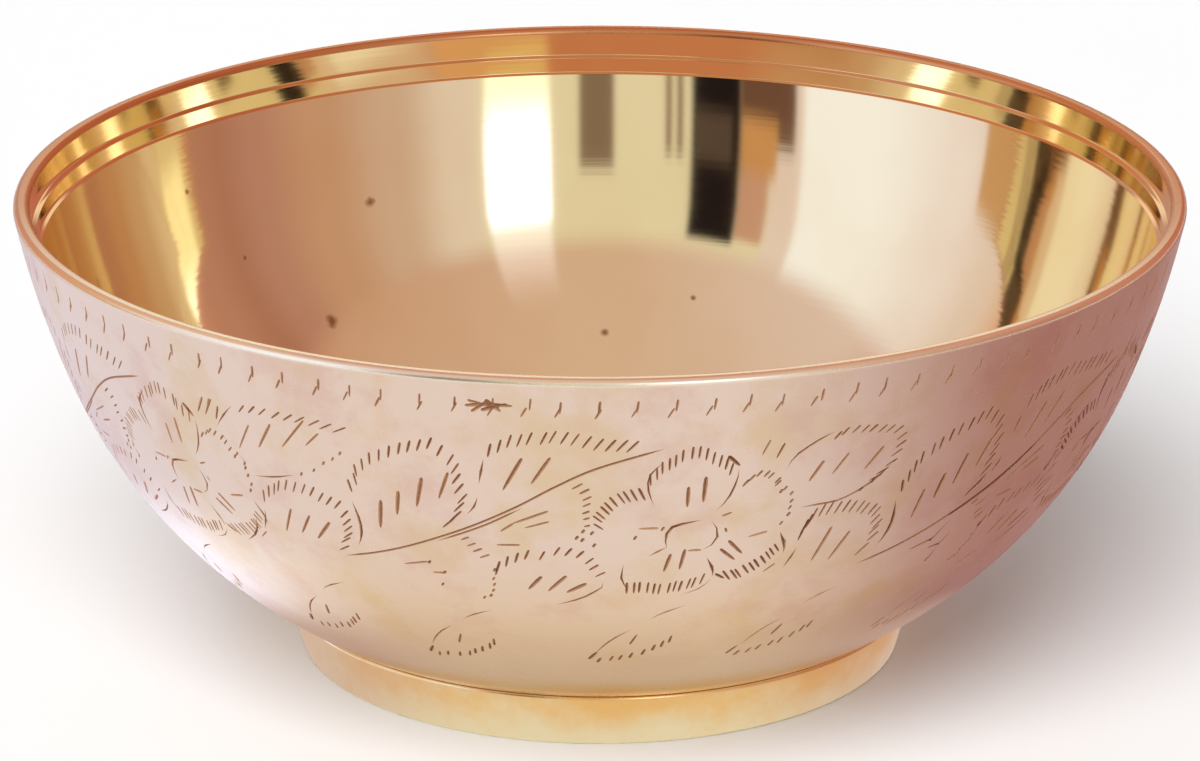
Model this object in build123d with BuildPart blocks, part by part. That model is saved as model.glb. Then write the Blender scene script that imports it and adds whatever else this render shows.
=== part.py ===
"""Brass offering bowl: a cast and turned shell, soldered to a turned foot ring.

The bowl stands on z = 0 and is round about the Z axis. Sizes are in millimetres.
"""

import os
from math import sqrt

from build123d import *

# Shell, outside
RIM_DIAMETER = 150.0
BOWL_HEIGHT = 61.0
BELLY_DROP = 21.2  # rim down to where the upper and the lower curve of the wall meet
BELLY_INSET = 6.3  # how far inside the rim they meet
UPPER_WALL_RADIUS = 126.0  # curve of the wall from the belly to the rim

# Shell, inside
WALL_THICKNESS = 2.2
FLOOR_THICKNESS = 2.6
FLOOR_FILLET = 30.0  # sweep of the floor up into the wall
UPPER_STEP_HEIGHT = 4.0  # turned step just under the lip
UPPER_STEP_DEPTH = 0.7  # how far its bottom is cut back into the wall
LOWER_STEP_HEIGHT = 2.2  # turned step below that one
LOWER_STEP_DEPTH = 0.4
STEP_BEVEL = 0.2  # height of the bevel at the bottom of a step
LIP_EDGE_RADIUS = 0.8

# Foot ring
FOOT_HEIGHT = 7.3  # table to the shell's flat base
FOOT_TOP_DIAMETER = 81.6
FOOT_TAPER = 2.0  # how far the ring draws in towards the table
FOOT_BASE_WIDTH = 3.5  # width of the ring's flat base, from bore to outside
FOOT_EDGE_RADIUS = 0.4

# Solder between the ring and the shell
SOLDER_FILM = 0.2
SOLDER_INSET = 0.3  # how far the film stops short of the ring's outer edge and bore

floor_height = FOOT_HEIGHT + FLOOR_THICKNESS
foot_top_radius = FOOT_TOP_DIAMETER / 2
foot_base_radius = foot_top_radius - FOOT_TAPER
foot_bore_radius = foot_base_radius - FOOT_BASE_WIDTH
foot_ring_top = FOOT_HEIGHT - SOLDER_FILM
os.makedirs("parts", exist_ok=True)


def radius_on_arc(arc_center, arc_radius, height):
    """Distance from the bowl's axis to a wall curve at a height."""
    return arc_center.X + sqrt(arc_radius**2 - (height - arc_center.Y) ** 2)


# The shell's section, with the distance from the axis as X and the height as Y.
# The inside curves share the centres of the outside ones, one wall thickness nearer.
with BuildPart() as bowl_shell:
    with BuildSketch(Plane.XZ) as shell_section:
        with BuildLine() as shell_outline:
            rim = (RIM_DIAMETER / 2, BOWL_HEIGHT)
            belly = Vector(RIM_DIAMETER / 2 - BELLY_INSET, BOWL_HEIGHT - BELLY_DROP)
            base_edge = (foot_top_radius, FOOT_HEIGHT)
            upper_outside = RadiusArc(rim, belly, UPPER_WALL_RADIUS)
            lower_outside = TangentArc(belly, base_edge, tangent=upper_outside % 1)

            upper_center = upper_outside.arc_center
            lower_center = lower_outside.arc_center
            upper_inside_radius = upper_outside.radius - WALL_THICKNESS
            lower_inside_radius = lower_outside.radius - WALL_THICKNESS
            belly_inside = belly + (upper_center - belly).normalized() * WALL_THICKNESS

            ridge_height = BOWL_HEIGHT - UPPER_STEP_HEIGHT
            steps_end_height = ridge_height - LOWER_STEP_HEIGHT
            lip, ridge, steps_end = [
                (radius_on_arc(upper_center, upper_inside_radius, height), height)
                for height in (BOWL_HEIGHT, ridge_height, steps_end_height)
            ]
            upper_bevel, lower_bevel = [
                (radius_on_arc(upper_center, upper_inside_radius, height) + depth, height)
                for height, depth in (
                    (ridge_height + STEP_BEVEL, UPPER_STEP_DEPTH),
                    (steps_end_height + STEP_BEVEL, LOWER_STEP_DEPTH),
                )
            ]
            floor_edge = (radius_on_arc(lower_center, lower_inside_radius, floor_height), floor_height)

            Polyline(rim, lip, upper_bevel, ridge, lower_bevel, steps_end)
            RadiusArc(steps_end, belly_inside, upper_inside_radius)
            RadiusArc(belly_inside, floor_edge, lower_inside_radius)
            Polyline(floor_edge, (0, floor_height), (0, FOOT_HEIGHT), base_edge)
        make_face()
    revolve(axis=Axis.Z)
    # The flat faces, from the bottom up, are the base, the floor and the lip.
    floor_face, lip_face = bowl_shell.faces().filter_by(GeomType.PLANE).sort_by(Axis.Z)[1:]
    fillet(floor_face.edges(), FLOOR_FILLET)
    fillet(lip_face.edges(), LIP_EDGE_RADIUS)
bowl_shell.part.label = "bowl_shell"
export_step(bowl_shell.part, "parts/bowl_shell.step")

# The ring tapers towards the table and is bored straight through.
with BuildPart() as foot_ring:
    with BuildSketch(Plane.XZ) as ring_section:
        with BuildLine() as ring_outline:
            Polyline(
                (foot_bore_radius, 0),
                (foot_base_radius, 0),
                (foot_top_radius, foot_ring_top),
                (foot_bore_radius, foot_ring_top),
                close=True,
            )
        make_face()
    revolve(axis=Axis.Z)
    ring_edges = foot_ring.edges().filter_by(GeomType.CIRCLE).group_by(Axis.Z)
    top_outer_edge = ring_edges[-1].sort_by(SortBy.RADIUS)[-1]
    fillet([*ring_edges[0], top_outer_edge], FOOT_EDGE_RADIUS)
foot_ring.part.label = "foot_ring"
export_step(foot_ring.part, "parts/foot_ring.step")

# The film fills the joint between the ring's top and the shell's flat base.
with BuildPart() as solder_seam:
    with BuildSketch(Plane.XY.offset(foot_ring_top)) as film_section:
        Circle(foot_top_radius - FOOT_EDGE_RADIUS - SOLDER_INSET)
        Circle(foot_bore_radius + SOLDER_INSET, mode=Mode.SUBTRACT)
    extrude(amount=SOLDER_FILM)
solder_seam.part.label = "solder_seam"
export_step(solder_seam.part, "parts/solder_seam.step")
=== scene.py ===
"""Brass offering bowl: an engraved shell soldered to a turned foot ring, on a pale floor in soft light."""

import random
from itertools import pairwise
from math import atan2, ceil, cos, degrees, pi, radians, sin, sqrt

import bpy
import numpy as np
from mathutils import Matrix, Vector
from mathutils.geometry import delaunay_2d_cdt


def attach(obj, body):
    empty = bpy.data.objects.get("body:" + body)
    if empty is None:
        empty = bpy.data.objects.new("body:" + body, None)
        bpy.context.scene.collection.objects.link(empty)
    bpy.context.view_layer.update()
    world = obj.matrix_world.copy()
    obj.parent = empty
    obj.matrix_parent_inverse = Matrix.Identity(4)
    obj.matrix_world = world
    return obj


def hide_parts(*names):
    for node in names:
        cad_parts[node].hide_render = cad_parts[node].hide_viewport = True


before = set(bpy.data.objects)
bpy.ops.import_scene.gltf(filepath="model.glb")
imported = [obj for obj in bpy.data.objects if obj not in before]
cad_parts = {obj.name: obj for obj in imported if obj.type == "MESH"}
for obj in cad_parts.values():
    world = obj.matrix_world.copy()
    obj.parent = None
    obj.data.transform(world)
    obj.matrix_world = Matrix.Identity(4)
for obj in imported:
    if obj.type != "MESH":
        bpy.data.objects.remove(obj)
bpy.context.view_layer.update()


# Bowl shell: one brass casting, turned on a lathe inside and out, with a flat lip and two steps under it.
# The inside is mirror polished and the outside is left satin.
# An engraver cuts the flowers, leaves and sprigs into the outside by hand, and dirt darkens the cuts.

MM = 0.001
RIM = np.array([75.0, 61.0])  # distance from the bowl's axis and height above the table
BELLY = np.array([68.7, 39.8])  # where the wall's upper and lower curves meet
BASE_EDGE = np.array([40.8, 7.3])  # where the wall meets the foot
UPPER_WALL_CURVE = 126.0
WALL_THICKNESS = 2.2
FLOOR_HEIGHT = 9.9
FLOOR_SWEEP = 30.0  # radius of the sweep from the floor up into the wall
RIDGE_HEIGHT = 57.0  # between the two steps
STEPS_END_HEIGHT = 54.8
UPPER_STEP_DEPTH = 0.7  # how far the bottom of the step under the lip is cut back into the wall
LOWER_STEP_DEPTH = 0.4
STEP_BEVEL = 0.2
STEP_ROUNDING = 0.1
LIP_ROUNDING = 0.83
SEGMENTS = 240  # facets round the bowl


def angle_from(center, point):
    return atan2(point[1] - center[1], point[0] - center[0])


def length_of(vector):
    return float(np.hypot(vector[0], vector[1]))


def on_curve(center, radius, height):
    """The point of a wall curve at a height."""
    return np.array([center[0] + sqrt(radius**2 - (height - center[1]) ** 2), height])


def arc_run(center, radius, start, end, steps, facing):
    """Points along an arc of the section, each with the direction that the surface faces there."""
    angles = np.linspace(angle_from(center, start), angle_from(center, end), steps + 1)
    outward = np.stack([np.cos(angles), np.sin(angles)], 1)
    return np.hstack([center + radius * outward, facing * outward])


def turned_run(corners, radii, steps=4):
    """Straight stretches of the section, with the corners between them turned to radii."""
    along = [(end - start) / length_of(end - start) for start, end in pairwise(corners)]
    rows = [[*corners[0], along[0][1], -along[0][0]]]
    for (before, after), corner, radius in zip(pairwise(along), corners[1:], radii):
        turn = atan2(before[0] * after[1] - before[1] * after[0], before.dot(after))
        center = corner + (after - before) / length_of(after - before) * radius / cos(turn / 2)
        side = 1 if turn > 0 else -1
        for angle in atan2(-before[0], before[1]) + turn * np.linspace(0, 1, steps + 1):
            outward = np.array([cos(angle), sin(angle)])
            rows.append([*(center + side * radius * outward), *outward])
    rows.append([*corners[-1], along[-1][1], -along[-1][0]])
    return np.array(rows)


rim_chord = RIM - BELLY
rim_chord_half = length_of(rim_chord) / 2
to_axis = np.array([-rim_chord[1], rim_chord[0]]) / (2 * rim_chord_half)
upper_center = (RIM + BELLY) / 2 + to_axis * sqrt(UPPER_WALL_CURVE**2 - rim_chord_half**2)
belly_to_center = (upper_center - BELLY) / UPPER_WALL_CURVE
base_to_belly = BELLY - BASE_EDGE
lower_wall_curve = -base_to_belly.dot(base_to_belly) / (2 * belly_to_center.dot(base_to_belly))
lower_center = BELLY + belly_to_center * lower_wall_curve

upper_inside_curve = UPPER_WALL_CURVE - WALL_THICKNESS
lower_inside_curve = lower_wall_curve - WALL_THICKNESS
belly_inside = BELLY + belly_to_center * WALL_THICKNESS
sweep_center = on_curve(lower_center, lower_inside_curve - FLOOR_SWEEP, FLOOR_HEIGHT + FLOOR_SWEEP)
sweep_out = (sweep_center - lower_center) / (lower_inside_curve - FLOOR_SWEEP)
sweep_top = lower_center + sweep_out * lower_inside_curve
sweep_foot = np.array([sweep_center[0], FLOOR_HEIGHT])

rim_round_center = on_curve(upper_center, UPPER_WALL_CURVE - LIP_ROUNDING, RIM[1] - LIP_ROUNDING)
rim_round_out = (rim_round_center - upper_center) / (UPPER_WALL_CURVE - LIP_ROUNDING)
wall_top = upper_center + rim_round_out * UPPER_WALL_CURVE
lip_outer = np.array([rim_round_center[0], RIM[1]])
lip_inner, upper_bevel, ridge, lower_bevel, steps_end = [
    on_curve(upper_center, upper_inside_curve, height) + (cut_back, 0)
    for height, cut_back in (
        (RIM[1], 0),
        (RIDGE_HEIGHT + STEP_BEVEL, UPPER_STEP_DEPTH),
        (RIDGE_HEIGHT, 0),
        (STEPS_END_HEIGHT + STEP_BEVEL, LOWER_STEP_DEPTH),
        (STEPS_END_HEIGHT, 0),
    )
]
steps_run = turned_run(
    [lip_outer, lip_inner, upper_bevel, ridge, lower_bevel, steps_end],
    [LIP_ROUNDING, STEP_ROUNDING, STEP_ROUNDING, STEP_ROUNDING],
)

lower_wall_start = angle_from(lower_center, BASE_EDGE)
belly_angle = angle_from(lower_center, BELLY)
lower_wall_length = lower_wall_curve * (belly_angle - lower_wall_start)
wall_length = lower_wall_length + UPPER_WALL_CURVE * (angle_from(upper_center, wall_top) - belly_angle)


def wall_section(up):
    """The outside wall at distances up it from the seam: radius, height and the way it faces."""
    lower = up < lower_wall_length
    angle = np.where(
        lower,
        lower_wall_start + up / lower_wall_curve,
        belly_angle + (up - lower_wall_length) / UPPER_WALL_CURVE,
    )
    curve = np.where(lower, lower_wall_curve, UPPER_WALL_CURVE)
    center_out = np.where(lower, lower_center[0], upper_center[0])
    center_up = np.where(lower, lower_center[1], upper_center[1])
    facing_out = np.cos(angle)
    facing_up = np.sin(angle)
    return center_out + curve * facing_out, center_up + curve * facing_up, facing_out, facing_up


def mm_per_degree(up):
    """Millimetres round the bowl for each degree, at distances up the wall."""
    return wall_section(np.asarray(up, float))[0] * pi / 180


# The engraver sets each mark out by its angle round the bowl, in degrees, and its height up the wall, in
# millimetres above a scribed line near the seam. A motif counts its angles from the middle of its flower.
SCRIBED_LINE = 1.38
FLOWERS = (  # angle of each flower, how much lower its motif sits and how hard the graver was pushed
    (-48.0, 0.0, 0.85),
    (8.5, 0.0, 1.0),
    (65.0, 1.5, 1.3),
    (127.0, 0.0, 1.0),
    (189.0, 0.6, 0.9),
    (250.0, 0.2, 0.95),
)
BRANCH_LEAD = 56.5  # from the middle of one flower to the next, where the band was set out first
SPRIGS = (  # angle of each sprig and how much higher it sits
    (-62.0, 0.6), (-40.7, 1.4), (-22.8, 0.1), (-1.3, 1.5), (16.8, 1.3), (38.6, 0.8),
    (58.5, 0.5), (78.5, 0.9), (98.5, 0.2), (118.5, 1.1), (138.5, 0.7), (158.5, 0.3),
    (178.5, 1.2), (198.5, 0.6), (218.5, 0.9), (238.5, 0.1), (258.5, 1.0), (278.5, 0.4),
)
SLIP_ANGLE = -10.4
RIM_TICKS = 106
RIM_TICK_HEIGHT = 61.6
TICK_WIDTH = 0.34
LINE_WIDTH = 0.31
VEIN_WIDTH = 0.5
PRICK_WIDTH = 0.38
PRICK_REACH = np.array([0.15, 0.3])  # from the middle of a prick to its end, in degrees and millimetres
SPAN_POINTS = 12  # between two given places of a curve
LINE_STATION_GAP = 1.2
LEAST_LINE_STATIONS = 5
STROKE_STATIONS = (0.0, 0.06, 0.3, 0.75, 0.93, 1.0)  # along a short cut, from where the graver enters
STROKE_WIDTHS = (0.0, 0.8, 1.0, 0.85, 0.5, 0.0)
CUT_SLOPE = 0.7  # depth of a cut for each millimetre of half its width
LEAST_DEPTH = 0.004
PALE = 0.25  # dirt in a shallow cut that has been wiped clean
WIDTH_SLIPS = (0.85, 1.2)  # least and most that the hand changes the width of a cut
DARK_SLIPS = (0.8, 1.0)
RIM_TICK_SLIP = 0.2  # spread of the ticks under the rim off their even spacing, in degrees

hand = random.Random(11)


def curve_through(points, count):
    """Evenly spaced places along a smooth curve through the given ones."""
    knots = np.array([points[0], *points, points[-1]], float)
    t = np.linspace(0, 1, SPAN_POINTS, endpoint=False)[:, None]
    spans = [
        0.5 * (2 * b + (c - a) * t + (2 * a - 5 * b + 4 * c - d) * t**2 + (3 * b - a - 3 * c + d) * t**3)
        for a, b, c, d in zip(knots, knots[1:], knots[2:], knots[3:])
    ]
    dense = np.vstack([*spans, knots[-1:]])
    across = np.diff(dense[:, 0]) * mm_per_degree(dense[1:, 1])
    along = np.concatenate([[0], np.cumsum(np.hypot(across, np.diff(dense[:, 1])))])
    stops = np.linspace(0, along[-1], count)
    return np.stack([np.interp(stops, along, dense[:, 0]), np.interp(stops, along, dense[:, 1])], 1)


def stroke(motif, start, end, width=VEIN_WIDTH, dark=1.0):
    """One push of the graver: it enters blunt and leaves narrower."""
    path = np.array([start]) + np.outer(STROKE_STATIONS, np.subtract(end, start))
    motif.append((path, width * np.array(STROKE_WIDTHS), dark))


def line(motif, points, width=LINE_WIDTH, dark=1.0):
    """A long cut of even width that thins out at both ends."""
    knots = np.array(points, float)
    spans = np.hypot(np.diff(knots[:, 0]) * mm_per_degree(knots[1:, 1]), np.diff(knots[:, 1]))
    count = max(LEAST_LINE_STATIONS, ceil(spans.sum() / LINE_STATION_GAP))
    from_end = np.minimum(np.arange(count), np.arange(count)[::-1])
    motif.append((curve_through(points, count), width * np.minimum(from_end / 2, 1.0), dark))


def tick_row(motif, edge, count, first, last, width=TICK_WIDTH, dark=1.0):
    """Short cuts side by side along an edge, each pointing inwards; first and last give their run."""
    for start, run in zip(curve_through(edge, count), np.linspace(first, last, count)):
        stroke(motif, start, start + run, width, dark)


def veins(motif, strokes, width=VEIN_WIDTH, dark=0.7):
    """The strokes inside a petal or a leaf."""
    for top, foot in strokes:
        stroke(motif, top, foot, width, dark)


def pricks(motif, places, dark=0.8):
    """Pricks of the graver's point."""
    for place in places:
        stroke(motif, place + PRICK_REACH, place - PRICK_REACH, PRICK_WIDTH, dark)


def flower(motif):
    """Five petals edged with ticks round a small ring, with veins."""
    # Top petal
    tick_row(motif, [
        (-3.7, 51.3), (-2.4, 53.1), (0.1, 54.9), (1.9, 54.3), (4.2, 52.3),
    ], count=13, first=(0.1, -1.9), last=(-0.3, -1.9))
    line(motif, [(-3.2, 46.2), (-3.7, 48.0), (-3.9, 49.6), (-3.6, 51.2), (-2.4, 52.9)])
    line(motif, [(4.9, 51.4), (4.8, 49.5), (4.1, 46.8), (3.0, 45.0)])
    stroke(motif, (3.7, 53.1), (4.9, 51.5), width=0.6)
    veins(motif, [((-0.15, 48.8), (-0.15, 45.6)), ((1.7, 50.4), (1.6, 46.4))])
    # Left petal
    tick_row(motif, [
        (-9.2, 43.7), (-9.0, 45.3), (-7.8, 47.3), (-6.3, 48.6), (-4.8, 49.1),
    ], count=10, first=(1.0, -1.0), last=(0.7, -2.0))
    pricks(motif, [(-9.2, 42.0), (-9.1, 40.2), (-2.4, 42.7), (-4.8, 41.3)])
    stroke(motif, (-2.5, 42.6), (-4.5, 42.6), width=0.4, dark=PALE)
    # Upper right petal
    tick_row(motif, [
        (5.9, 49.6), (6.9, 50.5), (8.0, 50.3), (8.7, 49.6), (9.3, 48.7),
    ], count=7, first=(-0.6, -1.0), last=(-0.6, -0.8), dark=0.75)
    pricks(motif, [
        (9.9, 47.6), (9.2, 47.0), (10.4, 46.5), (10.4, 45.5), (10.5, 44.4), (10.5, 43.2), (9.9, 42.0),
    ], dark=0.7)
    stroke(motif, (3.5, 44.1), (4.5, 44.6), width=0.3, dark=0.6)
    stroke(motif, (4.1, 42.1), (4.3, 41.4), width=0.3, dark=0.7)
    stroke(motif, (8.5, 40.8), (6.5, 40.2), width=0.42, dark=PALE)
    # Lower right petal
    tick_row(motif, [
        (4.4, 34.8), (5.9, 35.2), (7.4, 36.0), (8.7, 37.3), (9.6, 38.7),
    ], count=10, first=(1.0, -1.9), last=(0.7, -1.4))
    line(motif, [(9.8, 40.7), (10.2, 39.5), (10.6, 38.4), (10.7, 36.8)], width=0.5)
    stroke(motif, (3.7, 34.2), (4.8, 33.2))
    stroke(motif, (10.1, 35.2), (8.9, 33.8), width=0.3, dark=0.6)
    veins(motif, [((4.7, 39.9), (6.4, 37.4)), ((3.9, 38.8), (5.7, 36.6))])
    # Bottom petal
    line(motif, [(-6.1, 37.0), (-6.3, 34.5), (-6.0, 33.3), (-5.5, 32.0)])
    tick_row(motif, [
        (-5.6, 33.6), (-4.1, 33.5), (-2.5, 33.2), (-0.5, 33.3), (1.4, 33.9), (2.4, 34.5),
    ], count=12, first=(0.0, -2.2), last=(-0.4, -2.1))
    line(motif, [(2.4, 37.3), (3.0, 35.8), (3.3, 34.9), (3.3, 33.6)], width=0.4)
    line(motif, [(3.3, 33.6), (2.5, 32.2), (1.5, 31.3), (0.0, 30.7)], width=0.22, dark=0.6)
    veins(motif, [((-1.3, 38.4), (-1.9, 35.2)), ((0.1, 39.1), (-0.3, 35.5))])
    # Ring at the middle
    line(motif, [
        (-1.8, 39.2), (-2.0, 40.5), (-1.9, 41.8), (-1.3, 42.9), (-0.3, 43.2), (1.6, 43.7),
    ], width=0.36)
    line(motif, [(2.6, 43.4), (3.4, 41.6), (3.2, 39.9), (2.4, 39.0), (1.9, 38.6)], width=0.36)
    line(motif, [(-2.0, 39.5), (-2.8, 38.9), (-3.9, 38.0)], width=0.3, dark=0.6)
    stroke(motif, (1.8, 38.7), (0.4, 38.7), width=0.4, dark=PALE)
    # Two strokes above the upper right petal
    stroke(motif, (7.8, 55.0), (7.1, 52.8), width=0.3, dark=0.6)
    stroke(motif, (8.9, 54.4), (8.2, 52.2), width=0.4)


def open_leaves(motif):
    """The long leaf right of a flower, ticked round its tip, and the small dome-shaped leaf below it."""
    line(motif, [(9.5, 50.3), (10.3, 52.3), (12.7, 54.4), (14.3, 55.2)])
    tick_row(motif, [
        (14.6, 55.1), (16.4, 55.4), (18.4, 55.1), (20.8, 54.6), (22.0, 53.2), (21.8, 50.8),
    ], count=11, first=(-0.7, -1.1), last=(-1.2, -0.9))
    tick_row(motif, [
        (21.3, 49.3), (20.6, 48.2), (19.9, 47.4),
    ], count=3, first=(-1.3, -0.9), last=(-1.3, -0.7))
    line(motif, [
        (11.5, 44.1), (13.5, 44.2), (15.8, 44.4), (18.0, 45.6), (19.5, 46.9), (21.2, 49.0),
    ], dark=0.7)
    pricks(motif, [(18.0, 45.7), (19.1, 46.6)])
    veins(motif, [
        ((13.4, 51.0), (12.1, 48.0)), ((15.9, 51.6), (14.4, 48.6)), ((19.5, 51.8), (17.7, 48.6)),
    ], width=0.42)
    tick_row(motif, [
        (12.4, 41.0), (13.7, 43.8), (16.4, 44.2), (19.1, 43.5), (21.1, 41.8), (21.5, 38.0),
    ], count=17, first=(-0.4, -2.3), last=(-1.1, -1.4))
    line(motif, [(12.1, 37.6), (11.7, 36.0), (11.0, 33.9)], width=0.36)
    veins(motif, [((15.6, 40.4), (14.2, 34.6)), ((18.0, 39.2), (16.3, 34.4))], width=0.55)
    stroke(motif, (20.9, 36.2), (19.6, 34.2), width=0.4, dark=0.8)


def closed_leaves(motif):
    """The same two leaves as the engraver cut them on every other motif, ticked along the top."""
    veins(motif, [((7.0, 55.1), (5.8, 52.5)), ((8.3, 55.1), (6.9, 52.3))], width=0.36)
    line(motif, [(10.8, 55.1), (9.5, 53.5), (8.0, 51.2)], width=0.34)
    tick_row(motif, [
        (12.1, 55.6), (15.2, 55.8), (18.0, 55.7), (21.0, 55.6), (23.7, 55.3),
    ], count=9, first=(-0.9, -1.3), last=(-1.6, -1.1))
    line(motif, [(11.3, 44.9), (14.0, 45.5), (16.7, 46.6)], dark=0.8)
    pricks(motif, [(17.4, 46.9), (19.0, 47.9), (20.3, 48.9), (21.5, 50.0), (22.4, 51.3)], dark=0.6)
    veins(motif, [
        ((12.5, 52.7), (10.4, 48.5)), ((15.2, 53.9), (13.0, 49.7)), ((19.3, 55.3), (16.0, 50.4)),
        ((20.5, 53.7), (18.7, 51.4)),
    ], width=0.4, dark=0.6)
    tick_row(motif, [
        (12.0, 42.9), (13.3, 44.2), (15.6, 45.5), (17.8, 45.5), (19.7, 44.7), (21.6, 43.4),
        (22.1, 40.4), (21.0, 36.4),
    ], count=17, first=(-0.4, -2.2), last=(-1.5, -1.2))
    line(motif, [(11.0, 39.5), (10.6, 37.8), (9.8, 35.7)], width=0.36)
    line(motif, [(9.3, 37.6), (8.9, 36.0), (8.0, 34.2), (6.0, 32.3)], width=0.36)
    veins(motif, [
        ((14.9, 40.7), (13.1, 36.3)), ((17.1, 40.3), (15.3, 36.8)), ((19.5, 39.9), (17.2, 36.4)),
    ], dark=0.75)


def branch(motif):
    """The stem that climbs to a flower from the one before, with a large leaf and four smaller ones."""
    line(motif, [
        (20.0, 34.3), (24.0, 35.9), (28.0, 37.9), (32.5, 40.6), (36.0, 42.9), (40.0, 45.9),
        (44.0, 49.3), (48.0, 52.1), (54.2, 54.8),
    ], width=0.32, dark=0.75)
    line(motif, [(31.0, 39.3), (34.0, 41.1), (37.0, 43.1), (40.5, 45.9)], dark=0.75)
    # Large leaf
    tick_row(motif, [
        (22.8, 47.3), (24.4, 50.8), (27.0, 53.0), (30.0, 54.5), (32.1, 55.3), (33.7, 54.0),
        (34.7, 51.8), (34.9, 48.8), (34.6, 45.5), (33.6, 43.4),
    ], count=20, first=(0.2, -2.0), last=(-1.4, -1.7))
    line(motif, [(22.6, 44.4), (22.9, 42.5), (23.0, 40.5), (22.7, 38.5), (22.0, 36.8)], width=0.42)
    veins(motif, [
        ((26.1, 45.1), (25.4, 40.4)), ((28.1, 46.9), (27.5, 43.0)), ((30.7, 49.3), (29.7, 44.5)),
        ((33.5, 50.5), (32.2, 46.2)),
    ])
    # Leaf above the stem
    line(motif, [(37.1, 53.0), (36.7, 50.8), (36.4, 49.0)], width=0.36)
    line(motif, [(36.1, 47.0), (35.6, 45.3), (34.8, 44.1)], width=0.32)
    tick_row(motif, [
        (37.8, 55.2), (40.5, 56.8), (43.7, 57.5), (46.9, 56.8), (51.6, 56.0),
    ], count=14, first=(-0.4, -2.1), last=(-1.2, -1.7))
    veins(motif, [((40.8, 53.3), (38.7, 48.2)), ((43.5, 53.5), (41.5, 49.3))])
    # Leaf under the stem
    tick_row(motif, [
        (46.3, 49.8), (47.1, 48.8), (47.2, 46.9), (46.8, 43.1),
    ], count=7, first=(-1.1, -0.9), last=(-0.6, -0.2), dark=0.8)
    pricks(motif, [(46.3, 42.2), (45.7, 41.1), (46.2, 40.8)])
    veins(motif, [
        ((39.5, 43.3), (38.1, 41.9)), ((43.2, 45.6), (39.4, 43.3)), ((43.2, 43.8), (40.6, 42.6)),
        ((40.0, 39.9), (37.5, 39.7)),
    ], width=0.34, dark=0.5)
    # Lowest leaf
    stroke(motif, (37.7, 36.8), (37.0, 34.1), width=0.36)
    tick_row(motif, [
        (38.6, 37.8), (40.1, 38.7), (42.9, 39.3), (45.7, 39.6), (47.3, 38.0), (48.6, 35.3),
    ], count=10, first=(-0.4, -2.0), last=(-1.1, -0.9))
    line(motif, [(48.3, 33.8), (48.4, 33.0), (46.0, 30.6), (43.0, 29.1)])
    veins(motif, [
        ((41.8, 34.6), (40.2, 32.0)), ((44.5, 34.8), (42.4, 31.7)), ((46.5, 33.3), (44.3, 31.5)),
    ], width=0.55)
    # Small leaf between the stem and the lowest leaf
    tick_row(motif, [
        (34.7, 40.5), (35.5, 39.8), (35.8, 38.8), (36.6, 37.7),
    ], count=4, first=(-0.9, -0.6), last=(-1.1, -0.7), dark=0.6)
    pricks(motif, [
        (37.0, 35.1), (36.8, 33.6), (36.7, 32.5), (36.3, 31.3), (35.9, 30.2), (35.3, 29.6),
    ], dark=0.6)
    pricks(motif, [(30.1, 35.4), (31.6, 33.9), (30.8, 31.4)])
    veins(motif, [((29.9, 35.4), (27.0, 34.4)), ((31.5, 33.9), (29.9, 33.7))], width=0.34, dark=0.5)


def sprig(motif):
    """A small leaf near the foot: a curved back, ticks under it and one vein."""
    stroke(motif, (-0.1, 14.0), (1.0, 16.2), width=0.5)
    line(motif, [(0.8, 16.0), (1.9, 18.3), (3.3, 20.4), (5.2, 22.4)], width=0.28, dark=0.8)
    line(motif, [(6.9, 24.2), (8.3, 25.6), (11.0, 27.2)], width=0.26, dark=0.7)
    tick_row(motif, [
        (0.9, 13.2), (3.0, 13.7), (5.4, 14.7), (7.9, 16.5), (9.6, 18.4),
    ], count=8, first=(0.5, 1.5), last=(0.2, 1.9), width=0.42)
    stroke(motif, (5.0, 18.2), (5.8, 20.8), width=0.4, dark=0.8)


def rim_tick(motif):
    """One of the row of short cuts under the rim, which bend to the left at their foot."""
    top = RIM_TICK_HEIGHT
    stroke(motif, (0.3, top), (0.15, top - 1.7), width=0.33, dark=0.6)
    stroke(motif, (0.15, top - 1.1), (-0.45, top - 2.5), width=0.3, dark=0.6)


def slip_of_the_graver(motif):
    """A patch beside the rim ticks where the tool skidded and the scratches filled with dirt."""
    veins(motif, [
        ((-2.2, 60.4), (0.3, 60.9)), ((-1.6, 61.2), (1.0, 60.3)), ((-0.6, 59.9), (1.9, 61.0)),
        ((0.2, 61.4), (1.6, 59.8)), ((-1.2, 59.7), (0.6, 61.5)), ((-0.2, 60.6), (2.4, 60.5)),
    ], width=0.5)


marks = []


def engrave(draw, angle, rise=0.0, pressure=1.0, slip=0.1):
    """Cuts a motif at an angle round the bowl, with the small slips of a hand."""
    motif = []
    draw(motif)
    for path, widths, dark in motif:
        moved = path + (angle + hand.gauss(0, slip), SCRIBED_LINE + rise + hand.gauss(0, slip))
        cut_widths = widths * pressure * hand.uniform(*WIDTH_SLIPS)
        darkness = dark * pressure * hand.uniform(*DARK_SLIPS)
        marks.append((moved, cut_widths, darkness))


for index, (flower_angle, drop, pressure) in enumerate(FLOWERS):
    engrave(flower, flower_angle, -drop, pressure)
    engrave(open_leaves if index % 2 else closed_leaves, flower_angle, -drop, pressure)
    engrave(branch, flower_angle - BRANCH_LEAD, -drop, pressure)
for sprig_angle, rise in SPRIGS:
    engrave(sprig, sprig_angle, rise, slip=0.15)
for index in range(RIM_TICKS):
    engrave(rim_tick, index * 360 / RIM_TICKS + hand.gauss(0, RIM_TICK_SLIP), slip=0.12)
engrave(slip_of_the_graver, SLIP_ANGLE)

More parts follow.
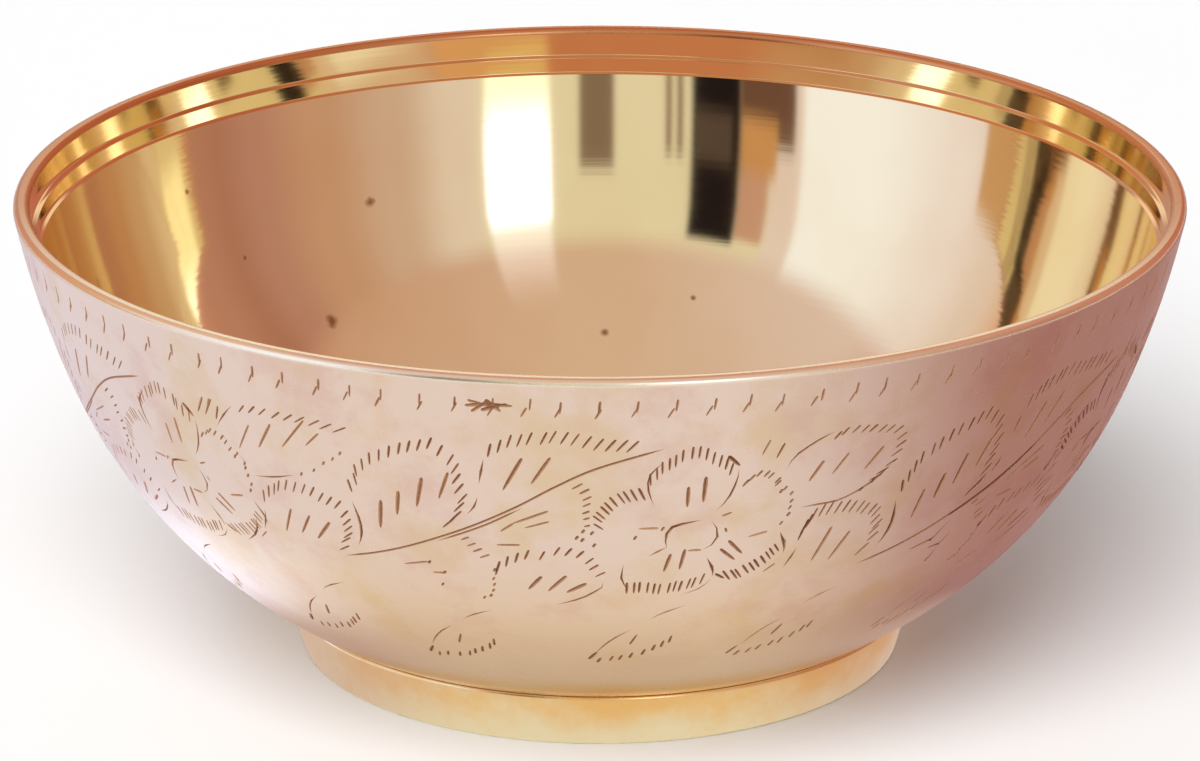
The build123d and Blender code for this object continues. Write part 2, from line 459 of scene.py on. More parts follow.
# The wall is triangulated flat, as a ring with the seam as its inner edge, round the outline and the
# middle line of every cut.
SEAM_RING = BASE_EDGE[0]
BACKGROUND_STEP = 2.4
BACKGROUND_COLUMNS = 180
CLEAR_OF_CUTS = 0.7
MERGE_WITHIN = 1e-4
LEAST_LENGTH = 1e-12

flat_points = []
flat_edges = []


def flat_place(angle, up):
    """Where a place on the wall lies on the flat ring."""
    turn = radians(angle - 90)
    return Vector(((SEAM_RING + up) * cos(turn), (SEAM_RING + up) * sin(turn)))


def wall_place(flat):
    """The angle round the bowl and the distance up the wall of flat places."""
    up = np.hypot(flat[:, 0], flat[:, 1]) - SEAM_RING
    return np.degrees(np.arctan2(flat[:, 1], flat[:, 0])) + 90, np.clip(up, 0, wall_length)


def add_path(places, closed):
    """Adds places to be joined by edges of the wall's mesh."""
    first = len(flat_points)
    flat_points.extend(flat_place(*place) for place in places)
    last = len(flat_points) - 1
    flat_edges.extend(pairwise(range(first, last + 1)))
    if closed:
        flat_edges.append((last, first))


ring_angles = np.arange(SEGMENTS) * 360 / SEGMENTS
for up in (0.0, wall_length):
    add_path([(angle, up) for angle in ring_angles], closed=True)

for path, widths, _ in marks:
    scale = mm_per_degree(path[:, 1])
    along = np.gradient(path, axis=0) * np.stack([scale, np.ones_like(scale)], 1)
    along /= np.hypot(along[:, 0], along[:, 1])[:, None]
    aside = np.stack([-along[:, 1] / scale, along[:, 0]], 1) * (widths / 2)[:, None]
    left = path[1:-1] + aside[1:-1]
    right = path[1:-1] - aside[1:-1]
    add_path([path[0], *left, path[-1], *right[::-1]], closed=True)
    add_path(path, closed=False)


def cut_depths(angles, ups):
    """Depth of the cuts at places on the wall, how dark their dirt is and how far off the next cut is."""
    depth = np.zeros(len(angles))
    dark = np.zeros(len(angles))
    near = np.full(len(angles), np.inf)
    for path, widths, mark_dark in marks:
        reach = CLEAR_OF_CUTS + widths.max()
        scale = float(mm_per_degree(path[:, 1].mean()))
        middle = path[:, 0].mean()
        turn = (angles - middle + 180) % 360 - 180
        box = (
            (abs(turn) < np.ptp(path[:, 0]) / 2 + reach / scale)
            & (ups > path[:, 1].min() - reach)
            & (ups < path[:, 1].max() + reach)
        )
        chosen = np.nonzero(box)[0]
        spot = np.stack([turn[chosen] * scale, ups[chosen]], 1)
        stations = (path - (middle, 0)) * (scale, 1)
        for (start, end), (start_width, end_width) in zip(pairwise(stations), pairwise(widths)):
            run = end - start
            t = np.clip((spot - start) @ run / (run @ run), 0, 1)
            away = spot - (start + t[:, None] * run)
            distance = np.hypot(away[:, 0], away[:, 1])
            half = (start_width + (end_width - start_width) * t) / 2
            new_depth = CUT_SLOPE * (half - distance)
            deeper = new_depth > np.maximum(depth[chosen], LEAST_DEPTH)
            depth[chosen[deeper]] = new_depth[deeper]
            dark[chosen[deeper]] = mark_dark
            near[chosen] = np.minimum(near[chosen], distance - half)
    return depth, dark, near


background = np.array([
    ((column + row % 2 / 2) * 360 / BACKGROUND_COLUMNS, row * BACKGROUND_STEP)
    for row in range(1, int(wall_length / BACKGROUND_STEP))
    for column in range(BACKGROUND_COLUMNS)
])
clear = cut_depths(*background.T)[2] > CLEAR_OF_CUTS
flat_points.extend(flat_place(*place) for place in background[clear])

flat_verts, _, flat_faces, sources, _, _ = delaunay_2d_cdt(flat_points, flat_edges, [], 0, MERGE_WITHIN)
flat_verts = np.array([tuple(vert) for vert in flat_verts])
flat_faces = np.array(flat_faces)
face_middle = flat_verts[flat_faces].mean(1)
on_wall = np.hypot(face_middle[:, 0], face_middle[:, 1]) > SEAM_RING
flat_faces = flat_faces[on_wall][:, ::-1]
in_cut = cut_depths(*wall_place(face_middle[on_wall]))[0] > 0

wall_angle, wall_up = wall_place(flat_verts)
cut_depth, cut_dark, _ = cut_depths(wall_angle, wall_up)
ring_of = {
    source: index
    for index, merged in enumerate(sources)
    for source in merged
    if source < 2 * SEGMENTS
}
seam_ring = [ring_of[i] for i in range(SEGMENTS)]
wall_top_ring = [ring_of[i + SEGMENTS] for i in range(SEGMENTS)]
cut_depth[seam_ring + wall_top_ring] = 0.0

wall_turn = np.radians(wall_angle - 90)
wall_out, wall_height, facing_out, facing_up = wall_section(wall_up)
cut_out = wall_out - cut_depth * facing_out
cut_height = wall_height - cut_depth * facing_up
wall_places = np.stack([cut_out * np.cos(wall_turn), cut_out * np.sin(wall_turn), cut_height], 1)
wall_facings = np.stack([facing_out * np.cos(wall_turn), facing_out * np.sin(wall_turn), facing_up], 1)
first, second, third = (wall_places[flat_faces[:, corner]] for corner in range(3))
face_facings = np.cross(second - first, third - first)
face_facings /= np.maximum(np.linalg.norm(face_facings, axis=1), LEAST_LENGTH)[:, None]
corner_facings = np.where(in_cut[:, None, None], face_facings[:, None, :], wall_facings[flat_faces])

# The chart for baking has the wall as that flat ring, and the inside and the base as discs beside it.
CHART_SCALE = 0.0026
WALL_CHART = np.array([0.295, 0.295])
INSIDE_CHART = np.array([0.705, 0.705])
BASE_CHART = np.array([0.88, 0.12])
SATIN, CUT, POLISHED = range(3)
DECIMALS = 6  # of a millimetre, to which vertices are rounded

ring_cos = np.cos(np.radians(ring_angles - 90))
ring_sin = np.sin(np.radians(ring_angles - 90))


class Turning:
    """A mesh turned round the bowl's axis, with the way its faces' corners face and a flat chart of it."""

    def __init__(self):
        self.vertices = []
        self.faces = []
        self.finishes = []
        self.facings = []
        self.charted = []

    def ring(self, out, height):
        """Adds a ring of vertices and gives their numbers."""
        first = len(self.vertices)
        self.vertices.extend(zip(out * ring_cos, out * ring_sin, [height] * SEGMENTS))
        return list(range(first, first + SEGMENTS))

    def corner(self, turn, facing, chart, reach):
        """Adds how a face's corner faces and where it lies on the chart."""
        facing_out, facing_up = facing
        self.facings.append((facing_out * ring_cos[turn], facing_out * ring_sin[turn], facing_up))
        self.charted.append(chart + reach * CHART_SCALE * np.array([ring_cos[turn], ring_sin[turn]]))

    def run(self, rows, finish, chart, reach, first_ring, last_ring=None):
        """Sweeps rows of the section round the axis; gives the last ring and its reach on the chart."""
        rings = [first_ring, *(self.ring(*row[:2]) for row in rows[1:-1])]
        rings.append(last_ring or self.ring(*rows[-1][:2]))
        for (ring, row), (next_ring, next_row) in pairwise(zip(rings, rows)):
            next_reach = reach - length_of(next_row[:2] - row[:2])
            for i in range(SEGMENTS):
                j = (i + 1) % SEGMENTS
                self.faces.append((ring[i], ring[j], next_ring[j], next_ring[i]))
                self.finishes.append(finish)
                self.corner(i, row[2:], chart, reach)
                self.corner(j, row[2:], chart, reach)
                self.corner(j, next_row[2:], chart, next_reach)
                self.corner(i, next_row[2:], chart, next_reach)
            reach = next_reach
        return rings[-1], reach

    def disc(self, ring, height, facing_up, finish, chart, reach):
        """Closes a ring with a flat disc that faces up or down."""
        middle = len(self.vertices)
        self.vertices.append((0.0, 0.0, height))
        turns = list(range(SEGMENTS))[::facing_up]
        for i, j in pairwise([*turns, turns[0]]):
            self.faces.append((ring[i], ring[j], middle))
            self.finishes.append(finish)
            self.corner(i, (0, facing_up), chart, reach)
            self.corner(j, (0, facing_up), chart, reach)
            self.corner(j, (0, facing_up), chart, 0)

    def mesh(self, name, materials):
        """The finished mesh, in metres."""
        mesh = bpy.data.meshes.new(name)
        mesh.from_pydata((np.array(self.vertices).round(DECIMALS) * MM).tolist(), [], self.faces)
        mesh.polygons.foreach_set("material_index", self.finishes)
        mesh.polygons.foreach_set("use_smooth", [True] * len(self.faces))
        mesh.normals_split_custom_set(self.facings)
        mesh.uv_layers.new(name="OFBake").data.foreach_set("uv", np.ravel(self.charted))
        for material in materials:
            mesh.materials.append(material)
        return mesh


shell = Turning()
shell.vertices.extend(map(tuple, wall_places))
shell.faces.extend(map(tuple, flat_faces.tolist()))
shell.finishes.extend(CUT if cut else SATIN for cut in in_cut)
shell.facings.extend(map(tuple, corner_facings.reshape(-1, 3)))
shell.charted.extend(WALL_CHART + flat_verts[flat_faces].reshape(-1, 2) * CHART_SCALE)
shell.disc(seam_ring, BASE_EDGE[1], -1, SATIN, BASE_CHART, BASE_EDGE[0])

LIP_ROWS = 6  # rows of the steps' section on the lip and its inner edge
RIM_ROUND_FACETS = 8
UPPER_WALL_FACETS = 12
LOWER_WALL_FACETS = 16
SWEEP_FACETS = 16

inside_runs = [
    (arc_run(rim_round_center, LIP_ROUNDING, wall_top, lip_outer, RIM_ROUND_FACETS, 1), SATIN),
    (steps_run[:LIP_ROWS], SATIN),
    (steps_run[LIP_ROWS - 1 :], POLISHED),
    (arc_run(upper_center, upper_inside_curve, steps_end, belly_inside, UPPER_WALL_FACETS, -1), POLISHED),
    (arc_run(lower_center, lower_inside_curve, belly_inside, sweep_top, LOWER_WALL_FACETS, -1), POLISHED),
    (arc_run(sweep_center, FLOOR_SWEEP, sweep_top, sweep_foot, SWEEP_FACETS, -1), POLISHED),
]
ring = wall_top_ring
reach = sweep_foot[0] + sum(np.hypot(*np.diff(rows[:, :2], axis=0).T).sum() for rows, _ in inside_runs)
for rows, finish in inside_runs:
    ring, reach = shell.run(rows, finish, INSIDE_CHART, reach, ring)
shell.disc(ring, FLOOR_HEIGHT, 1, POLISHED, INSIDE_CHART, reach)


class Shade:
    """A shader value in a material: arithmetic on it adds Math nodes, and node() adds any other node."""

    def __init__(self, tree, socket=None):
        self.tree = tree
        self.socket = socket

    def node(self, kind, settings, inputs, output=0):
        """Adds a node of a kind with its settings and inputs, and gives one of its outputs."""
        made = self.tree.nodes.new("ShaderNode" + kind)
        for name, value in settings.items():
            setattr(made, name, value)
        for name, value in inputs.items():
            if isinstance(value, Shade):
                self.tree.links.new(value.socket, made.inputs[name])
            else:
                made.inputs[name].default_value = value
        return Shade(self.tree, made.outputs[output] if made.outputs else None)

    def math(self, operation, *values):
        """A Math node on values."""
        return self.node("Math", {"operation": operation}, dict(enumerate(values)))

    def __add__(self, other):
        return self.math("ADD", self, other)

    def __sub__(self, other):
        return self.math("SUBTRACT", self, other)

    def __rsub__(self, other):
        return self.math("SUBTRACT", other, self)

    def __mul__(self, other):
        return self.math("MULTIPLY", self, other)

    __radd__ = __add__
    __rmul__ = __mul__

    def output(self, name):
        """Another output of the node that this shade comes from."""
        return Shade(self.tree, self.socket.node.outputs[name])

    def axis(self, name):
        """One part of a vector."""
        return self.node("SeparateXYZ", {}, {"Vector": self}, name)

    def away_from(self, place):
        """How far a place is from this one."""
        return self.node("VectorMath", {"operation": "DISTANCE"}, {0: self, 1: place}, "Value")

    def ease(self, low, high):
        """0 below low, 1 above high and smooth between them."""
        return self.node("MapRange", {"interpolation_type": "SMOOTHSTEP"},
                         {"Value": self, "From Min": low, "From Max": high})

    def between(self, low, high, soft):
        """1 from low to high, with soft edges."""
        return self.ease(low - soft, low + soft) * (1 - self.ease(high - soft, high + soft))

    def mix(self, start, end):
        """A colour from start to end, by this value."""
        return self.node("Mix", {"data_type": "RGBA"}, {0: self, 6: start, 7: end}, 2)


def new_material(name):
    """An empty material and the shade that adds its nodes."""
    material = bpy.data.materials.new(name)
    material.use_nodes = True
    material.node_tree.nodes.clear()
    return material, Shade(material.node_tree)


def finish_material(paint, inputs):
    """Gives the material its surface."""
    surface = paint.node("BsdfPrincipled", {}, inputs)
    paint.node("OutputMaterial", {}, {"Surface": surface})


def spot_in_mm(paint, stretch=(1, 1, 1)):
    """The place on the object in millimetres, stretched along each axis."""
    where = paint.node("TexCoord", {}, {}, "Object")
    return paint.node("Mapping", {}, {"Vector": where, "Scale": [scale / MM for scale in stretch]})


def noise(paint, vector, scale, detail=2.0, roughness=0.5):
    """Clouds of light and dark, finer where the scale is larger."""
    inputs = {"Vector": vector, "Scale": scale, "Detail": detail, "Roughness": roughness}
    return paint.node("TexNoise", {}, inputs)


def bump(paint, height, distance):
    """The way the surface faces when a pattern is this deep."""
    return paint.node("Bump", {}, {"Height": height, "Distance": distance})


BRASS = (0.92, 0.78, 0.57, 1)
YELLOWED_BRASS = (0.86, 0.69, 0.38, 1)
REDDENED_BRASS = (0.84, 0.62, 0.45, 1)
LOW_WALL_DARKER_BRASS = (0.60, 0.44, 0.29, 1)
# Paler brass, for rubbed spots over the wall and for the painted sheen over the seam.
RUBBED_AND_SHEEN_BRASS = (0.93, 0.80, 0.62, 1)
# The lip's top gets a painted highlight at the front and painted shade, dark orange, at the back.
LIP_PAINTED_HIGHLIGHT = (0.98, 0.90, 0.68, 1)
LIP_PAINTED_SHADE = (0.68, 0.32, 0.13, 1)
CUT_BRASS = (0.60, 0.35, 0.18, 1)
CUT_DIRT = (0.15, 0.045, 0.015, 1)
POLISHED_BRASS = (0.92, 0.78, 0.50, 1)
HAZED_BRASS = (0.90, 0.74, 0.46, 1)
STEP_LINE_BROWN = (0.78, 0.43, 0.20, 1)
SPOT_BROWN = (0.40, 0.22, 0.11, 1)
SPOTS = (  # tarnish spots inside: east, north, height and radius in millimetres
    (-31.7, 58.5, 40.2, 0.9),
    (-36.7, 46.4, 26.9, 1.2),
    (0.7, 55.5, 22.3, 0.8),
    (-48.2, 43.7, 37.0, 0.5),
    (-55.7, 40.9, 47.3, 0.5),
    (12.9, 57.5, 26.6, 0.5),
)
STAIN_EDGES = (0.46, 0.7)  # brightness of the clouds where a stain starts and where it is full
STAIN_STRENGTH = 0.8
BLUSH_EDGES = (0.5, 0.7)
BLUSH_STRENGTH = 0.7
GRAIN_EDGES = (0.5, 0.75)
GRAIN_STRENGTH = 0.25
HAZE_EDGES = (0.4, 0.75)
SEAM_PAINTED_SHEEN = (7.4, 9.4)  # heights between which the pale painted sheen along the wall's edge over the seam ends
LOW_DARKENING = (9.0, 29.0)  # heights between which the darker brass above it fades out upwards
LIP_STARTS = (59.9, 60.4)
LIP_HIGHLIGHT_TO_SHADE = (-65.0, 5.0)  # places from front to back between which the lip's painted highlight at the front turns into painted shade at the back
SATIN_ROUGHNESS = 0.2
CUT_ROUGHNESS = 0.4
PACKED_FULL = 0.9  # dirt that hides the brass in a cut
POLISH_ROUGHNESS = 0.035
STEP_LINE_DROP = 0.05  # how far the darker line under a step reaches below its corner
STEP_LINE_EDGE = 0.06
SPOT_CORE = 0.1  # of a tarnish spot's radius, where it starts to fade
SPOT_END = 1.1
WIPE_STRETCH = (0.02, 0.02, 1.6)  # the polisher's wipes run round the bowl
WIPE_DEPTH = 0.003 * MM

satin_brass, paint = new_material("satin_brass")
spot = spot_in_mm(paint)
height = spot.axis("Z")
stains = noise(paint, spot, scale=0.09, detail=4.0, roughness=0.6)
blush = noise(paint, spot, scale=0.07, detail=4.0, roughness=0.65)
grain = noise(paint, spot, scale=0.3, detail=4.0, roughness=0.6)
colour = (stains.ease(*STAIN_EDGES) * STAIN_STRENGTH).mix(BRASS, YELLOWED_BRASS)
colour = (blush.ease(*BLUSH_EDGES) * BLUSH_STRENGTH).mix(colour, REDDENED_BRASS)
colour = (grain.ease(*GRAIN_EDGES) * GRAIN_STRENGTH).mix(colour, RUBBED_AND_SHEEN_BRASS)
# The wall is darker towards the seam, fading out upwards.
colour = height.ease(*LOW_DARKENING).mix(LOW_WALL_DARKER_BRASS, colour)
# A pale band painted along the wall's lowest edge over the seam is a painted sheen.
colour = height.ease(*SEAM_PAINTED_SHEEN).mix(RUBBED_AND_SHEEN_BRASS, colour)
# Painted highlight on the lip's front and painted shade on its back, by place from front to back.
lip_painted_light = spot.axis("Y").ease(*LIP_HIGHLIGHT_TO_SHADE).mix(LIP_PAINTED_HIGHLIGHT, LIP_PAINTED_SHADE)
colour = height.ease(*LIP_STARTS).mix(colour, lip_painted_light)
finish_material(paint, {
    "Base Color": colour,
    "Metallic": 1.0,
    "Roughness": SATIN_ROUGHNESS + 0.1 * stains + 0.04 * grain,
})

graver_cut, paint = new_material("graver_cut")
dirt = paint.node("Attribute", {"attribute_name": "dirt"}, {}, "Fac")
crumbs = noise(paint, spot_in_mm(paint), scale=2.5, detail=3.0)
packed = (dirt * (0.6 + 0.8 * crumbs)).ease(0.0, PACKED_FULL)
finish_material(paint, {
    "Base Color": packed.mix(CUT_BRASS, CUT_DIRT),
    "Metallic": 0.9 - 0.7 * packed,
    "Roughness": CUT_ROUGHNESS + 0.3 * packed,
})

polished_brass, paint = new_material("polished_brass")
spot = spot_in_mm(paint)
haze = noise(paint, spot, scale=0.05, detail=3.0, roughness=0.6)
wipes = noise(paint, spot_in_mm(paint, WIPE_STRETCH), scale=1.0)
ragged = noise(paint, spot, scale=0.8) - 0.5
colour = haze.ease(*HAZE_EDGES).mix(POLISHED_BRASS, HAZED_BRASS)
# A darker brown line is painted along the corner under each step.
for corner in (RIDGE_HEIGHT, STEPS_END_HEIGHT):
    step_line = spot.axis("Z").between(corner - STEP_LINE_DROP, corner + STEP_BEVEL, STEP_LINE_EDGE)
    colour = step_line.mix(colour, STEP_LINE_BROWN)
for east, north, spot_height, radius in SPOTS:
    off_spot = spot.away_from((east, north, spot_height)) + ragged * radius
    colour = off_spot.ease(radius * SPOT_CORE, radius * SPOT_END).mix(SPOT_BROWN, colour)
finish_material(paint, {
    "Base Color": colour,
    "Metallic": 1.0,
    "Roughness": POLISH_ROUGHNESS + 0.045 * haze + 0.015 * wipes,
    "Normal": bump(paint, wipes, WIPE_DEPTH),
})

shell_mesh = shell.mesh("bowl_shell_engraved", (satin_brass, graver_cut, polished_brass))
dirt_values = np.zeros(len(shell.vertices))
dirt_values[: len(cut_dark)] = cut_dark
shell_mesh.attributes.new("dirt", "FLOAT", "POINT").data.foreach_set("value", dirt_values)


def show_piece(mesh, node):
    """Puts a mesh on the bowl in place of a plain CAD piece."""
    piece = bpy.data.objects.new(mesh.name, mesh)
    bpy.context.collection.objects.link(piece)
    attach(piece, "root")
    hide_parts(node)


show_piece(shell_mesh, "bowl_shell")


# Foot ring: a turned brass ring that draws in towards the table, polished outside.
# It is soldered under the bowl's flat base, with its edges broken on the lathe.

FOOT_TOP = np.array([40.8, 7.1])
FOOT_BASE = np.array([38.8, 0.0])
FOOT_BORE = 35.3
FOOT_ROUNDING = 0.4
FOOT_CHART = np.array([0.5, 0.5])
FOOT_GOLD = (0.91, 0.87, 0.63, 1)
FOOT_ORANGE = (0.92, 0.62, 0.25, 1)
ORANGE_RISE = (-2.0, 9.0)  # heights between which the foot turns more orange towards the seam
ORANGE_STRENGTH = 0.8
ORANGE_PATCHES = 1.8  # how unevenly it lies
FOOT_ROUGHNESS = 0.16
TOOL_STRETCH = (0.15, 0.15, 4.0)  # the fine marks of the tool run round the ring
TOOL_MARK_DEPTH = 0.008 * MM

bore_top = np.array([FOOT_BORE, FOOT_TOP[1]])
bore_base = np.array([FOOT_BORE, 0.0])
foot_run = turned_run([bore_top, bore_base, FOOT_BASE, FOOT_TOP, bore_top], [FOOT_ROUNDING] * 3)
foot = Turning()
bore_ring = foot.ring(*bore_top)
foot.run(foot_run, 0, FOOT_CHART, FOOT_TOP[0], bore_ring, bore_ring)

foot_brass, paint = new_material("foot_brass")
spot = spot_in_mm(paint)
film = noise(paint, spot, scale=0.08, detail=4.0, roughness=0.65)
fine = noise(paint, spot_in_mm(paint, TOOL_STRETCH), scale=1.0, detail=3.0)
# The foot is more orange towards the seam, in uneven patches.
orange_share = spot.axis("Z").ease(*ORANGE_RISE) * ORANGE_STRENGTH + (film - 0.5) * ORANGE_PATCHES
finish_material(paint, {
    "Base Color": orange_share.ease(0.0, 1.0).mix(FOOT_GOLD, FOOT_ORANGE),
    "Metallic": 1.0,
    "Roughness": FOOT_ROUGHNESS + 0.12 * film + 0.05 * fine,
    "Normal": bump(paint, fine, TOOL_MARK_DEPTH),
})
show_piece(foot.mesh("foot_ring_turned", (foot_brass,)), "foot_ring")


# Solder seam: the thin film of brazing solder between the foot ring and the bowl's base.
# It has run in by itself and dulled, so that it shows as a dark line over the foot.

SOLDER_DULL = (0.50, 0.33, 0.17, 1)
SOLDER_DARK = (0.28, 0.17, 0.09, 1)
SOLDER_ROUGHNESS = 0.45
FLOW_DEPTH = 0.05 * MM

solder, paint = new_material("solder")
flow = noise(paint, spot_in_mm(paint), scale=0.8, detail=3.0)
finish_material(paint, {
    "Base Color": flow.ease(0.3, 0.7).mix(SOLDER_DULL, SOLDER_DARK),
    "Metallic": 0.8,
    "Roughness": SOLDER_ROUGHNESS + 0.2 * flow,
    "Normal": bump(paint, flow, FLOW_DEPTH),
})
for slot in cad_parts["solder_seam"].material_slots:
    slot.material = solder


# Floor, light and camera: a pale table in a room that is bright at the left and warm brown at the right,
# with a tall lit window in front to the right.
# Soft sunlight falls from the front, and the camera looks down over the rim.

FLOOR_RADIUS = 3.0
SHEET_SIDES = 96
FLOOR_WHITE = (0.94, 0.94, 0.94, 1)
FLOOR_GREY = (0.9, 0.9, 0.9, 1)


def lay_flat(name, radius, height, material):
    """Lays a round sheet on the table."""
    bpy.ops.mesh.primitive_circle_add(
        vertices=SHEET_SIDES, radius=radius, fill_type="NGON", location=(0, 0, height)
    )
    sheet = bpy.context.object
    sheet.name = name
    sheet.data.materials.append(material)
    return sheet


table_top, paint = new_material("table_top")
cloudy = noise(paint, spot_in_mm(paint), scale=0.004)
finish_material(paint, {
    "Base Color": cloudy.mix(FLOOR_WHITE, FLOOR_GREY),
    "Roughness": 0.8,
    "Specular IOR Level": 0.1,
})
lay_flat("floor", FLOOR_RADIUS, 0.0, table_top)

# The bowl's outside mirrors the table, so a bounce card lies over it, which only mirrors see. The card is
# cool at the left, brown at the right and warm close to the foot.
CARD_RADIUS = 0.6
CARD_LIFT = 0.0003
CARD_COOL = (0.82, 0.78, 0.98, 1)
CARD_COOL_NEAR = (1.3, 1.35, 1.74, 1)
CARD_PALE = (0.83, 0.755, 0.85, 1)
CARD_TAN = (0.79, 0.655, 0.56, 1)
CARD_BROWN = (0.42, 0.23, 0.24, 1)
CARD_WARM = (0.84, 0.72, 0.60, 1)
CARD_ROSE = (0.70, 0.52, 0.47, 1)
CARD_BACK = (0.62, 0.48, 0.50, 1)
CARD_UNLIT = (0, 0, 0, 1)
COOL_TO_PALE = (-92.0, -33.0)  # angles round the bowl, in degrees, with 0 at the front
PALE_TO_BROWN = (15.0, 74.0)
SIDE_TO_BACK = (110.0, 175.0)
WARM_TO_ROSE = (20.0, 60.0)
COOL_NEAR = (55.0, 85.0)  # distances from the bowl's axis, in millimetres
TAN_NEAR = (50.0, 85.0)
FOOT_NEAR = (43.0, 54.0)

bounce_card, paint = new_material("bounce_card")
spot = spot_in_mm(paint)
around = spot.math("ARCTAN2", spot.axis("X"), 0 - spot.axis("Y")) * degrees(1)
away = spot.away_from((0, 0, 0))
colour = away.ease(*COOL_NEAR).mix(CARD_COOL_NEAR, CARD_COOL)
colour = around.ease(*COOL_TO_PALE).mix(colour, away.ease(*TAN_NEAR).mix(CARD_TAN, CARD_PALE))
colour = around.ease(*PALE_TO_BROWN).mix(colour, CARD_BROWN)
off_front = around.math("ABSOLUTE", around)
colour = off_front.ease(*SIDE_TO_BACK).mix(colour, CARD_BACK)
near = off_front.ease(*WARM_TO_ROSE).mix(CARD_WARM, CARD_ROSE)
colour = away.ease(*FOOT_NEAR).mix(near, colour)
finish_material(paint, {
    "Base Color": CARD_UNLIT,
    "Specular IOR Level": 0.0,
    "Emission Color": colour,
    "Emission Strength": 1.0,
})
card = lay_flat("bounce_card", CARD_RADIUS, CARD_LIFT, bounce_card)
card.visible_camera = False
card.visible_diffuse = False
card.visible_shadow = False
card.visible_transmission = False

BACK_DIM = (0.63, 0.29, 0.23, 1)
CEILING_LEFT = (0.77, 0.66, 0.76, 1)
CEILING_MIDDLE = (0.70, 0.52, 0.47, 1)
CEILING_RIGHT = (0.61, 0.37, 0.30, 1)
ROOM_WALLS = (  # azimuth where a stretch of the wall starts, half the width of its soft edge, its colour
    (-177.0, 2.5, (0.62, 0.52, 0.56, 1)),
    (-158.0, 8.0, (0.76, 0.46, 0.33, 1)),
    (-110.0, 8.0, (0.80, 0.69, 0.74, 1)),
    (-95.0, 8.0, (0.90, 0.86, 1.05, 1)),
    (-75.0, 14.0, (1.0, 1.07, 1.34, 1)),
    (-45.5, 1.0, (0.82, 0.72, 0.80, 1)),
    (-38.5, 1.5, (0.81, 0.77, 0.66, 1)),
    (27.0, 3.0, (0.80, 0.71, 0.73, 1)),
    (39.0, 7.0, (0.64, 0.465, 0.42, 1)),
    (55.0, 8.0, (0.58, 0.35, 0.27, 1)),
    (74.0, 9.0, (0.50, 0.26, 0.23, 1)),
    (88.0, 6.0, (0.44, 0.21, 0.165, 1)),
    (98.0, 6.0, (0.50, 0.25, 0.20, 1)),
    (112.0, 8.0, BACK_DIM),
    (172.0, 2.0, (0.42, 0.20, 0.16, 1)),
    (177.0, 1.5, BACK_DIM),
)
WALL_TOP = 40.0  # elevation where the walls meet the ceiling
WALL_TOP_EDGE = 4.0
CEILING_BACK = (-0.1, 0.3)  # share of a direction that points back, where the ceiling dims
CARDS = (  # cards and posts before the wall: the azimuths of their sides, their elevations and their colour
    (-125.0, -93.5, 0.0, 11.5, (0.62, 0.37, 0.20, 1)),
    (-181.0, -165.0, 17.5, 30.0, (1.15, 1.15, 1.0, 1)),
    (165.0, 181.0, 17.5, 30.0, (1.15, 1.15, 1.0, 1)),
    (-150.0, -90.0, 42.0, 56.0, (0.79, 0.50, 0.36, 1)),
    (-148.0, -114.0, 50.0, 54.0, (0.87, 0.75, 0.48, 1)),
    (-43.5, -38.5, 0.0, 18.5, (0.18, 0.10, 0.07, 1)),
    (-38.0, -31.0, 0.0, 36.0, (0.60, 0.36, 0.30, 1)),
    (-39.5, -31.0, 0.0, 22.0, (0.62, 0.33, 0.15, 1)),
    (-43.0, -31.0, 0.0, 15.7, (0.16, 0.08, 0.06, 1)),
    (-31.0, -20.0, 0.0, 37.5, (0.015, 0.01, 0.012, 1)),
    (-29.0, -21.0, 16.0, 22.0, (0.10, 0.07, 0.06, 1)),
    (-18.0, -16.8, 0.0, 22.0, (0.22, 0.13, 0.09, 1)),
    (-15.5, -14.3, 0.0, 22.0, (0.22, 0.13, 0.09, 1)),
    (-3.0, 4.5, 0.0, 24.0, (0.24, 0.17, 0.13, 1)),
)
CARD_SIDE_EDGE = 0.8
CARD_TOP_EDGE = 1.5
WINDOW_SIDES = (11.0, 25.2)
WINDOW_EDGE = 1.0
WINDOW_SILL = (6.0, 9.5)
WINDOW_BRIGHTENS = (13.0, 22.0)
WINDOW_DIMS = (31.0, 37.5)  # most of the window's light ends here, and the rest fades upwards
WINDOW_FADES = (33.0, 57.0)
WINDOW_TOP_SHARE = 0.24
WINDOW_WHITE = (2.2, 2.4, 3.4, 1)
WINDOW_LOW = (1.3, 1.35, 1.25, 1)
ROOM_LEAN = 0.4  # degrees that a side wall leans out for each degree up
LEAN_START = 15.0  # elevation where a leaning wall stands at its own azimuth
TABLE_LIGHT = (0.43, 0.43, 0.43, 1)  # the room's light on the table, which is plain

room = bpy.data.worlds.new("room")
bpy.context.scene.world = room
room.use_nodes = True
room.node_tree.nodes.clear()
paint = Shade(room.node_tree)
direction = paint.node("TexCoord", {}, {}, "Generated")
right = direction.axis("X")
above = direction.axis("Z")
azimuth = right.math("ARCTAN2", right, 0 - direction.axis("Y")) * degrees(1)
elevation = above.math("ARCSINE", above) * degrees(1)
across = azimuth - ROOM_LEAN * right * (elevation - LEAN_START)
wall = BACK_DIM
for start, soft, colour in ROOM_WALLS:
    wall = across.ease(start - soft, start + soft).mix(wall, colour)
ceiling = right.ease(-1.0, 0.0).mix(CEILING_LEFT, CEILING_MIDDLE)
ceiling = right.ease(0.0, 1.0).mix(ceiling, CEILING_RIGHT)
ceiling = direction.axis("Y").ease(*CEILING_BACK).mix(ceiling, BACK_DIM)
colour = elevation.ease(WALL_TOP - WALL_TOP_EDGE, WALL_TOP + WALL_TOP_EDGE).mix(wall, ceiling)
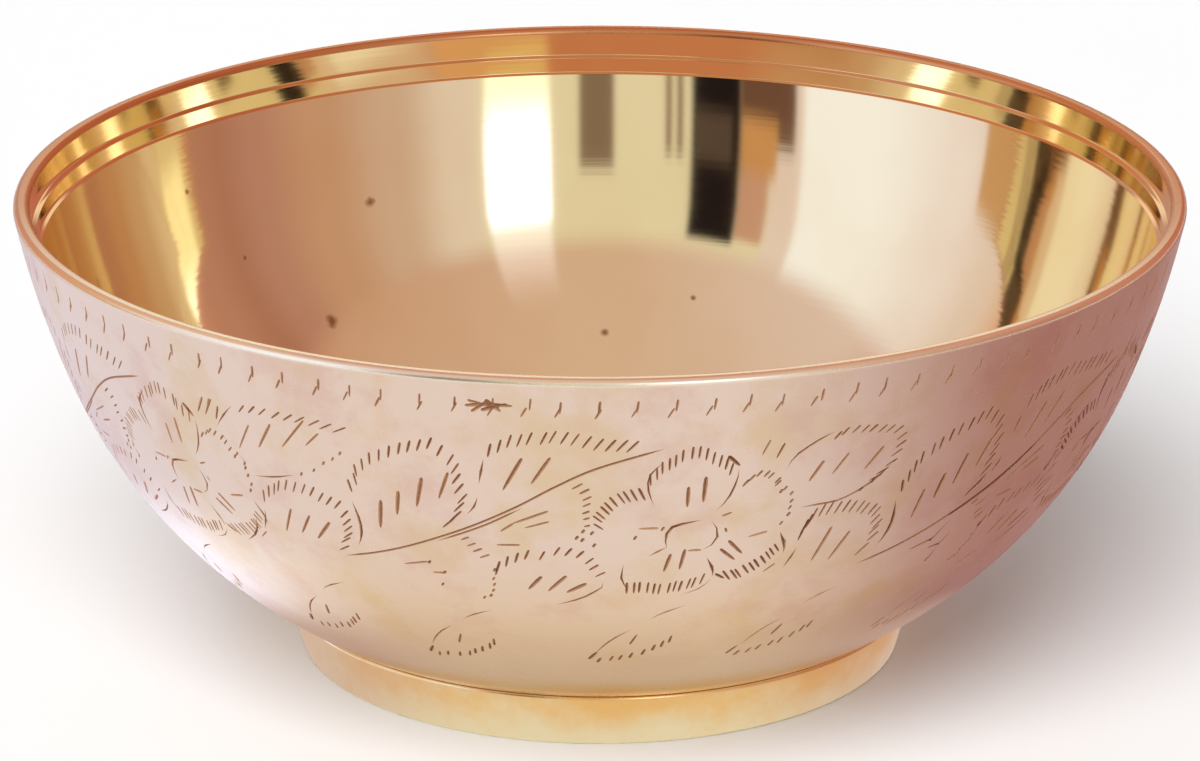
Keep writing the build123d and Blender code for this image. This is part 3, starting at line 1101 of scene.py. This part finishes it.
for left_side, right_side, bottom, top, card_colour in CARDS:
    cover = across.between(left_side, right_side, CARD_SIDE_EDGE)
    cover = cover * elevation.between(bottom, top, CARD_TOP_EDGE)
    colour = cover.mix(colour, card_colour)
dimmed = (1 - WINDOW_TOP_SHARE) * elevation.ease(*WINDOW_DIMS)
faded = WINDOW_TOP_SHARE * elevation.ease(*WINDOW_FADES)
window = across.between(*WINDOW_SIDES, WINDOW_EDGE) * elevation.ease(*WINDOW_SILL) * (1 - dimmed - faded)
colour = window.mix(colour, elevation.ease(*WINDOW_BRIGHTENS).mix(WINDOW_LOW, WINDOW_WHITE))
rays = paint.node("LightPath", {}, {})
shown = rays.output("Is Camera Ray") + rays.output("Is Glossy Ray") + rays.output("Is Transmission Ray")
background = paint.node("Background", {}, {"Color": shown.mix(TABLE_LIGHT, colour)})
paint.node("OutputWorld", {}, {"Surface": background})

SUN_LEVEL = 2.9
SUN_SPREAD = 40.0
SUN_AZIMUTH = -15.0  # from the camera to the right, in degrees
SUN_ELEVATION = 45.0

sun_data = bpy.data.lights.new("sun", "SUN")
sun_data.energy = SUN_LEVEL
sun_data.angle = radians(SUN_SPREAD)
sun = bpy.data.objects.new("sun", sun_data)
sun.rotation_euler = (radians(90 - SUN_ELEVATION), 0, radians(SUN_AZIMUTH))
sun.visible_glossy = False
bpy.context.collection.objects.link(sun)

CAMERA_PLACE = Vector((0.0, -0.7588, 0.3015))
CAMERA_AIM = Vector((0.0, 0.0, 0.0347))
CAMERA_LENS = 186.6
SENSOR_WIDTH = 36.0
MIRRORINGS = 10  # times that light is followed from one polished face to the next inside the bowl

camera_data = bpy.data.cameras.new("camera")
camera_data.lens = CAMERA_LENS
camera_data.sensor_width = SENSOR_WIDTH
camera = bpy.data.objects.new("camera", camera_data)
camera.location = CAMERA_PLACE
camera.rotation_euler = (CAMERA_AIM - CAMERA_PLACE).to_track_quat("-Z", "Y").to_euler()
bpy.context.collection.objects.link(camera)
bpy.context.scene.camera = camera
bpy.context.scene.view_settings.view_transform = "Standard"
bpy.context.scene.cycles.glossy_bounces = MIRRORINGS
